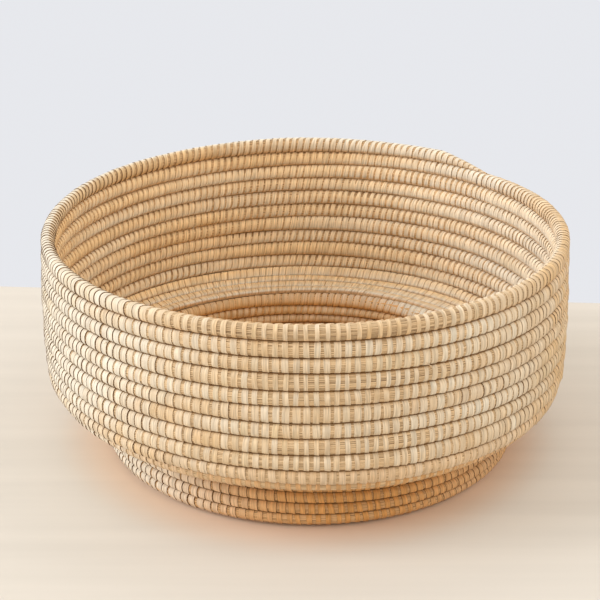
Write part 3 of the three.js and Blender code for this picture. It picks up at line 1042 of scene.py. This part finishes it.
def grain(tree, place, fineness, length_scale):
    """The fibres and patches of a piece, by the values that say where on it a point lies."""
    across, along, seed = attribute_parts(tree, place)
    links = {"Across": across, "Along": along, "Seed": seed, "Fineness": fineness, "Length": length_scale}
    made = node(tree, "ShaderNodeGroup", links, node_tree=fibre_grain())
    return made.outputs["Fibre"], made.outputs["Patch"]


FIBRE_SHINE = 0.18
GRAIN_RANGE = (0.3, 0.7)


def finish_surface(tree, shader, base, rough, fibre, bump_strength, bump_depth):
    """Gives a shader its colour and roughness, and fibres that stand out."""
    tree.links.new(base, shader.inputs["Base Color"])
    tree.links.new(rough, shader.inputs["Roughness"])
    shader.inputs["Specular IOR Level"].default_value = FIBRE_SHINE
    bump = {"Strength": bump_strength, "Distance": bump_depth, "Height": fibre}
    tree.links.new(node(tree, "ShaderNodeBump", bump).outputs[0], shader.inputs["Normal"])


LEAF_GRAIN = (1.0, 0.06)
LEAF_PATCHES = (0.32, 0.34)
LEAF_RIBS = (0.7, 1.13)
LEAF_ROUGHNESS = (0.62, 0.48)
LEAF_BUMP = (0.35, 0.12 * MM)
LEAF_GROOVE_SHADE = (0.8, 0.97)
GREEN_HUES = (0.3, 0.0, 0.0, 0.45)
ROSE_HUES = (0.68, 1.0, 0.0, 0.4)
SEAM_SHADOW_SHARE = 0.17
SEAM_SHADOW_RANGE = (1.0, 1.08)


def palm_leaf(colours):
    """Dry palm leaf: pale, finely ribbed strips that vary from cream to honey, with painted light and shade
    that darkens the grooves.
    """
    material = bpy.data.materials.get("palm_leaf")
    if material:
        return material
    material, tree, shader = surface("palm_leaf")
    tone, hue, deep = attribute_parts(tree, "strip_look")
    aside, seam_shadow_strength, painted_shade_and_light = attribute_parts(tree, "strip_edge")
    fibre, patch = grain(tree, "strip_place", *LEAF_GRAIN)
    patch = math_node(tree, "MULTIPLY_ADD", patch, *LEAF_PATCHES)
    ramp = node(tree, "ShaderNodeValToRGB", {0: math_node(tree, "ADD", tone, patch, clamp=True)})
    stops = ramp.color_ramp.elements
    stops[0].color = (*colours.honey, 1.0)
    stops[1].color = (*colours.cream, 1.0)
    stops.new(0.5).color = (*colours.straw, 1.0)
    base = blend(tree, remap(tree, hue, *GREEN_HUES), ramp.outputs[0], colours.green)
    base = blend(tree, remap(tree, hue, *ROSE_HUES), base, colours.rose)
    # Negative values paint light towards gold, positive values paint shade towards amber.
    for sign, leaf in ((-1.0, colours.lit_gold), (1.0, colours.shade_amber)):
        base = blend(tree, math_node(tree, "MULTIPLY", painted_shade_and_light, sign, clamp=True), base, leaf)
    base = scaled(tree, base, remap(tree, fibre, *GRAIN_RANGE, *LEAF_RIBS))
    # Painted shadow along the strips' edges, darker where they close up.
    seam_shadow_mask = math_node(tree, "MULTIPLY_ADD", seam_shadow_strength, SEAM_SHADOW_SHARE, math_node(tree, "ABSOLUTE", aside))
    base = blend(tree, remap(tree, seam_shadow_mask, *SEAM_SHADOW_RANGE), base, colours.seam)
    # Painted shade in the grooves.
    base = blend(tree, remap(tree, deep, *LEAF_GROOVE_SHADE), base, colours.groove_shade)
    rough = remap(tree, fibre, *GRAIN_RANGE, *LEAF_ROUGHNESS)
    finish_surface(tree, shader, base, rough, fibre, *LEAF_BUMP)
    return material


STEM_GRAIN = (2.2, 0.05)
STEM_FIBRES = (0.5, 0.33)
STEM_SHADES = 0.5
STEM_GAPS = (0.0, 0.8)
STEM_ROUGHNESS = (0.58, 0.75)
STEM_BUMP = (0.4, 0.15 * MM)
STEM_GROOVE_SHADE = (0.77, 0.95)


def dry_stems(colours):
    """Thin dry stems that lie side by side, darker between them, with painted shade on the foot, inside and
    in the grooves.
    """
    material = bpy.data.materials.get("dry_stems")
    if material:
        return material
    material, tree, shader = surface("dry_stems")
    shade, valley, deep = attribute_parts(tree, "stem_look")
    painted_shade_and_light = attribute_parts(tree, "stem_painted_shade")[0]
    fibre, patch = grain(tree, "stem_place", *STEM_GRAIN)
    mixed = math_node(tree, "MULTIPLY_ADD", fibre, *STEM_FIBRES)
    mixed = math_node(tree, "ADD", mixed, math_node(tree, "MULTIPLY", shade, STEM_SHADES), clamp=True)
    base = blend(tree, mixed, colours.stem_dark, colours.stem)
    # Painted shade towards amber.
    base = blend(tree, painted_shade_and_light, base, colours.shade_amber)
    base = blend(tree, remap(tree, valley, *STEM_GAPS), base, colours.stem_dark)
    # Painted shade in the grooves.
    base = blend(tree, remap(tree, deep, *STEM_GROOVE_SHADE), base, colours.groove_shade)
    rough = remap(tree, patch, *GRAIN_RANGE, *STEM_ROUGHNESS)
    finish_surface(tree, shader, base, rough, fibre, *STEM_BUMP)
    return material


# Operators

STEM_SEED = 40
KNOT_SEEDS = (90, 91)
TAIL_SEEDS = (95, 96)
STRIP_SEED = 100
LOOSE_SEED = 77
BASE_STEPS = 44
STEM_STEPS = 84
KNOT_STEPS = 40
TAIL_STEPS = 200


def make_coil(context):
    """The coil with the scene's settings."""
    return Coil(context.scene.basket_sizes, context.scene.basket_strips.seed)


def add_strips(context, coil, name, first, last, seed, *nodes):
    """Wraps a strip round a part of the coil, as a piece in place of its solids."""
    tube = strip_tube(coil, context.scene.basket_strips, first, last, seed)
    piece = tube_object(name, [tube], palm_leaf(context.scene.basket_colours))
    settle_piece(piece, "leaf_strip", *nodes)


def add_stems(context, coil, name, first, last, steps_per_turn, seed, *nodes):
    """Winds the stems of a part of the coil, as a piece in place of its solids."""
    tube = stem_tube(coil, context.scene.basket_strips, first, last, steps_per_turn, seed)
    piece = tube_object(name, [tube], dry_stems(context.scene.basket_colours))
    settle_piece(piece, "stem_bundle", *nodes)


def add_end(context, coil, name, first, last, steps_per_turn, seeds):
    """Makes one end of the coil, with its strip and its stems."""
    add_strips(context, coil, f"{name}_strips", first, last, seeds[0], name)
    add_stems(context, coil, f"{name}_stems", first, last, steps_per_turn, seeds[1])


class BASKET_OT_stems(bpy.types.Operator):
    """Winds the stem bundle of each stretch of the basket"""

    bl_idname = "basket.stems"
    bl_label = "Stem bundle"

    def execute(self, context):
        coil = make_coil(context)
        for index, name in enumerate(STRETCH_NAMES):
            first = coil.first[index]
            last = first + coil.turns[index]
            steps = BASE_STEPS if index == BASE else STEM_STEPS
            solid = f"{name}_foundation"
            add_stems(context, coil, f"{name}_stems", first, last, steps, STEM_SEED + index, solid)
        return {"FINISHED"}


class BASKET_OT_strips(bpy.types.Operator):
    """Wraps a palm-leaf strip round each turn of the coil"""

    bl_idname = "basket.strips"
    bl_label = "Leaf strips"

    def execute(self, context):
        coil = make_coil(context)
        for index, name in enumerate(STRETCH_NAMES):
            for course, solid in enumerate(course_nodes(name)):
                first = coil.first[index] + course
                piece = f"{name}_strips_{course + 1:02d}"
                add_strips(context, coil, piece, first, first + 1, STRIP_SEED + first, solid)
        return {"FINISHED"}


class BASKET_OT_start_knot(bpy.types.Operator):
    """Rolls up the thin start of the bundle in the middle of the base"""

    bl_idname = "basket.start_knot"
    bl_label = "Start knot"

    def execute(self, context):
        coil = make_coil(context)
        add_end(context, coil, "start_knot", -KNOT_TURNS, 0, KNOT_STEPS, KNOT_SEEDS)
        return {"FINISHED"}


class BASKET_OT_rim_tail(bpy.types.Operator):
    """Tapers the end of the coil down on to the course below"""

    bl_idname = "basket.rim_tail"
    bl_label = "Rim tail"

    def execute(self, context):
        coil = make_coil(context)
        add_end(context, coil, "rim_tail", coil.last, coil.last + coil.tail_turns, TAIL_STEPS, TAIL_SEEDS)
        return {"FINISHED"}


class BASKET_OT_loose_ends(bpy.types.Operator):
    """Lets a few stray fibres stand out of the grooves"""

    bl_idname = "basket.loose_ends"
    bl_label = "Loose ends"

    def execute(self, context):
        coil = make_coil(context)
        random = np.random.default_rng([context.scene.basket_strips.seed, LOOSE_SEED])
        tubes = [loose_end_tube(coil, random) for _ in range(LOOSE_ENDS)]
        piece = tube_object("loose_ends", tubes, palm_leaf(context.scene.basket_colours))
        settle_piece(piece, "leaf_strip")
        return {"FINISHED"}


CAMERA_PLACE = (0.0, -1158.7 * MM, 604.6 * MM)
CAMERA_DOWN = math.radians(23.38)
CAMERA_LENS = 103.31
CAMERA_SHIFT = -5.35 / 600
STAGE_REACH = 6.0
WOOD_STREAKS = (0.35, 0.65, 0.965, 1.02)

# Distances from the axis between which painted light makes the floor lighter, and then warm
LIT_DISTANCES = (0.25, 0.16)
GLOW_DISTANCES = (0.19, 0.145)

LAMPS_LOOK_AT = (0.0, 0.0, 0.08)
KEY_PLACE = (-7.3, -0.75, 3.4)
KEY_TINT = (0.955, 0.99, 1.05)
FILL_PLACE = (2.6, -0.5, 1.15)
FILL_TINT = (1.0, 0.93, 0.85)
FILL_SIZE = 1.8


def lamp(name, kind, place, size, power, tint):
    """A soft lamp that looks at the basket: a square one of a width, or a far one of an angle."""
    light = bpy.data.lights.new(name, kind)
    if kind == "SUN":
        light.angle = size
    else:
        light.shape = "SQUARE"
        light.size = size
    light.energy = power
    light.color = tint
    obj = add_object(name, light)
    obj.location = place
    x, y, z = np.array(place) - np.array(LAMPS_LOOK_AT)
    obj.rotation_euler = (math.atan2(math.hypot(x, y), z), 0.0, math.atan2(x, -y))


def flat_sheet(name, corners, material):
    """A flat four-cornered sheet at the height of the table."""
    mesh = bpy.data.meshes.new(name)
    mesh.from_pydata([(x, y, 0.0) for x, y in corners], [], [(0, 1, 2, 3)])
    mesh.materials.append(material)
    return add_object(name, mesh)


def table_top(stage):
    """Pale streaked wood, with painted light near the basket: lighter, and warmer next to the foot."""
    material, tree, shader = surface("table_top")
    where = node(tree, "ShaderNodeTexCoord").outputs["Object"]
    turned = {"Vector": where, "Rotation": (0.0, 0.0, 0.05), "Scale": (1.6, 42.0, 1.0)}
    grown = node(tree, "ShaderNodeMapping", turned).outputs[0]
    wood = node(tree, "ShaderNodeTexNoise", {"Vector": grown, "Scale": 1.0, "Detail": 4.0})
    away = node(tree, "ShaderNodeVectorMath", {0: where}, operation="LENGTH").outputs["Value"]
    lit = remap(tree, away, *LIT_DISTANCES, kind="SMOOTHSTEP")
    painted_shade_and_light = remap(tree, away, *GLOW_DISTANCES, kind="SMOOTHSTEP")
    plank = blend(tree, lit, stage.floor, stage.floor_lit)
    plank = blend(tree, painted_shade_and_light, plank, stage.floor_painted_glow)
    plank = scaled(tree, plank, remap(tree, wood.outputs[0], *WOOD_STREAKS))
    tree.links.new(plank, shader.inputs["Base Color"])
    shader.inputs["Roughness"].default_value = 0.8
    shader.inputs["Specular IOR Level"].default_value = 0.08
    return material


def backdrop_paper(stage):
    """Paper that is seen in an even colour, however the lamps fall on it."""
    material, tree, shader = surface("backdrop_paper")
    tint = (*stage.backdrop, 1.0)
    shader.inputs["Base Color"].default_value = tint
    shader.inputs["Roughness"].default_value = 0.9
    glow = node(tree, "ShaderNodeEmission", {"Color": tint, "Strength": 1.0})
    path = node(tree, "ShaderNodeLightPath").outputs
    seen = math_node(tree, "ADD", path["Is Camera Ray"], path["Is Glossy Ray"])
    seen = math_node(tree, "ADD", seen, path["Is Transmission Ray"], clamp=True)
    mix = node(tree, "ShaderNodeMixShader", {0: seen, 1: shader.outputs[0], 2: glow.outputs[0]})
    tree.links.new(mix.outputs[0], tree.nodes["Material Output"].inputs["Surface"])
    return material


def even_light(stage):
    """Light from all round, white from above and warm from the side."""
    world = bpy.data.worlds.new("even_light")
    world.use_nodes = True
    tree = world.node_tree
    sky = tree.nodes["Background"].inputs
    way = node(tree, "ShaderNodeTexCoord").outputs["Generated"]
    upward = node(tree, "ShaderNodeSeparateXYZ", {0: way}).outputs[2]
    tree.links.new(remap(tree, upward, 0.0, 1.0, stage.horizon, stage.sky), sky["Strength"])
    tree.links.new(blend(tree, upward, stage.horizon_tint, (1.0, 1.0, 1.0)), sky["Color"])
    return world


def front_camera():
    """A camera in front of the basket that looks down on it."""
    view = bpy.data.cameras.new("camera")
    view.lens = CAMERA_LENS
    view.sensor_width = 36.0
    view.shift_x = CAMERA_SHIFT
    view.clip_end = 50.0
    camera = add_object("camera", view)
    camera.location = CAMERA_PLACE
    camera.rotation_euler = (math.pi / 2 - CAMERA_DOWN, 0.0, 0.0)
    return camera


class BASKET_OT_stage(bpy.types.Operator):
    """Sets the floor, the backdrop, the lamps and the camera"""

    bl_idname = "basket.stage"
    bl_label = "Stage"

    def execute(self, context):
        scene = context.scene
        stage = scene.basket_stage
        reach = STAGE_REACH
        left = (-reach, stage.edge - stage.edge_slope * reach)
        right = (reach, stage.edge + stage.edge_slope * reach)
        table = flat_sheet("table_floor", [(-reach, -reach), (reach, -reach), right, left], table_top(stage))
        paper = flat_sheet("backdrop", [left, right, (reach, reach), (-reach, reach)], backdrop_paper(stage))
        scene.world = even_light(stage)
        lamp("key_lamp", "SUN", KEY_PLACE, stage.key_width, stage.key, KEY_TINT)
        lamp("fill_lamp", "AREA", FILL_PLACE, FILL_SIZE, stage.fill, FILL_TINT)
        scene.camera = front_camera()
        scene.view_settings.view_transform = "Standard"
        return {"FINISHED"}


OPERATORS = (
    BASKET_OT_stems,
    BASKET_OT_strips,
    BASKET_OT_start_knot,
    BASKET_OT_rim_tail,
    BASKET_OT_loose_ends,
    BASKET_OT_stage,
)
SETTINGS = {
    "basket_sizes": BasketSizes,
    "basket_strips": StripSizes,
    "basket_colours": BasketColours,
    "basket_stage": StageSettings,
}


class BASKET_PT_panel(bpy.types.Panel):
    """Lists the basket's settings and the steps that build it"""

    bl_idname = "BASKET_PT_panel"
    bl_label = "Coiled basket"
    bl_space_type = "VIEW_3D"
    bl_region_type = "UI"
    bl_category = "Basket"

    def draw(self, context):
        for name, group in SETTINGS.items():
            box = self.layout.box()
            for key in group.__annotations__:
                box.prop(getattr(context.scene, name), key)
        for operator in OPERATORS:
            self.layout.operator(operator.bl_idname)


CLASSES = (*SETTINGS.values(), *OPERATORS, BASKET_PT_panel)


def register():
    for cls in CLASSES:
        bpy.utils.register_class(cls)
    for name, group in SETTINGS.items():
        setattr(bpy.types.Scene, name, PointerProperty(type=group))


def unregister():
    for name in SETTINGS:
        delattr(bpy.types.Scene, name)
    for cls in reversed(CLASSES):
        bpy.utils.unregister_class(cls)


def main():
    register()
    bpy.ops.basket.stage()
    bpy.ops.basket.stems()
    bpy.ops.basket.strips()
    bpy.ops.basket.start_knot()
    bpy.ops.basket.rim_tail()
    bpy.ops.basket.loose_ends()


if __name__ == "__main__":
    main()
